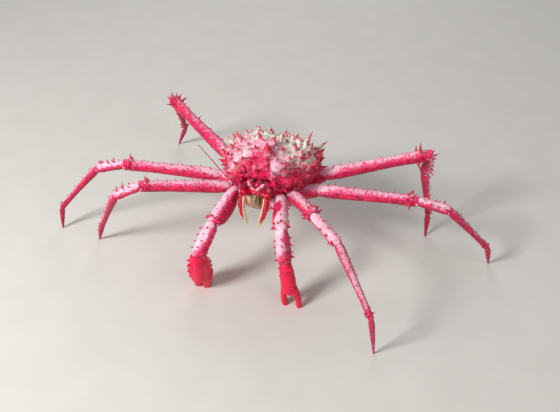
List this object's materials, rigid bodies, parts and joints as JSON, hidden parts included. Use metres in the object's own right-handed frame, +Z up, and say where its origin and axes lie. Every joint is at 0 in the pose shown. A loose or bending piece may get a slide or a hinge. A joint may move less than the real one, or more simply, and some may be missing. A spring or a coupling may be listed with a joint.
{
  "type": "king crab",
  "caption": "Life-size still model of a spiny king crab standing on its leg tips, with a domed carapace, long jointed legs, two claws, eyes and feelers.",
  "frame": {"origin": "on the floor, under the middle of the bounding box of the whole stance", "axes": "+X is the crab's own left side, -Y is the way it faces, +Z is up"},
  "size_m": [0.6152, 0.3698, 0.1915],
  "materials": {
    "carapace": "crimson shell with greenish-white crust, satin",
    "leg_shell": "crimson shell dusted pale on its upper faces, satin",
    "claw_shell": "saturated crimson shell, semi-gloss",
    "underside": "pale red, satin",
    "mouthparts": "red with ivory bristles, satin",
    "feelers": "dark red, satin",
    "eyes": "near black, glossy"
  },
  "bodies": {
    "root": {"carapace": "carapace", "thorax": "underside", "abdomen_base": "underside", "abdomen_flap": "underside", "eye_left": "eyes", "eye_right": "eyes", "antennule_left": "feelers", "antennule_right": "feelers", "antenna_left_peduncle": "feelers", "antenna_right_peduncle": "feelers", "antenna_left_flagellum": "feelers", "antenna_right_flagellum": "feelers", "maxilliped_left_base": "mouthparts", "maxilliped_right_base": "mouthparts", "maxilliped_left_palp": "mouthparts", "maxilliped_right_palp": "mouthparts", "claw_left_coxa": "leg_shell", "claw_left_merus": "leg_shell", "claw_left_carpus": "leg_shell", "claw_left_palm": "claw_shell", "claw_left_dactylus": "claw_shell", "claw_right_coxa": "leg_shell", "claw_right_merus": "leg_shell", "claw_right_carpus": "leg_shell", "claw_right_palm": "claw_shell", "claw_right_dactylus": "claw_shell", "leg_2_left_coxa": "leg_shell", "leg_2_left_merus": "leg_shell", "leg_2_left_carpus": "leg_shell", "leg_2_left_propodus": "leg_shell", "leg_2_left_dactylus": "leg_shell", "leg_2_right_coxa": "leg_shell", "leg_2_right_merus": "leg_shell", "leg_2_right_carpus": "leg_shell", "leg_2_right_propodus": "leg_shell", "leg_2_right_dactylus": "leg_shell", "leg_3_left_coxa": "leg_shell", "leg_3_left_merus": "leg_shell", "leg_3_left_carpus": "leg_shell", "leg_3_left_propodus": "leg_shell", "leg_3_left_dactylus": "leg_shell", "leg_3_right_coxa": "leg_shell", "leg_3_right_merus": "leg_shell", "leg_3_right_carpus": "leg_shell", "leg_3_right_propodus": "leg_shell", "leg_3_right_dactylus": "leg_shell", "leg_4_left_coxa": "leg_shell", "leg_4_left_merus": "leg_shell", "leg_4_left_carpus": "leg_shell", "leg_4_left_propodus": "leg_shell", "leg_4_left_dactylus": "leg_shell", "leg_4_right_coxa": "leg_shell", "leg_4_right_merus": "leg_shell", "leg_4_right_carpus": "leg_shell", "leg_4_right_propodus": "leg_shell", "leg_4_right_dactylus": "leg_shell"}
  },
  "joints": []
}
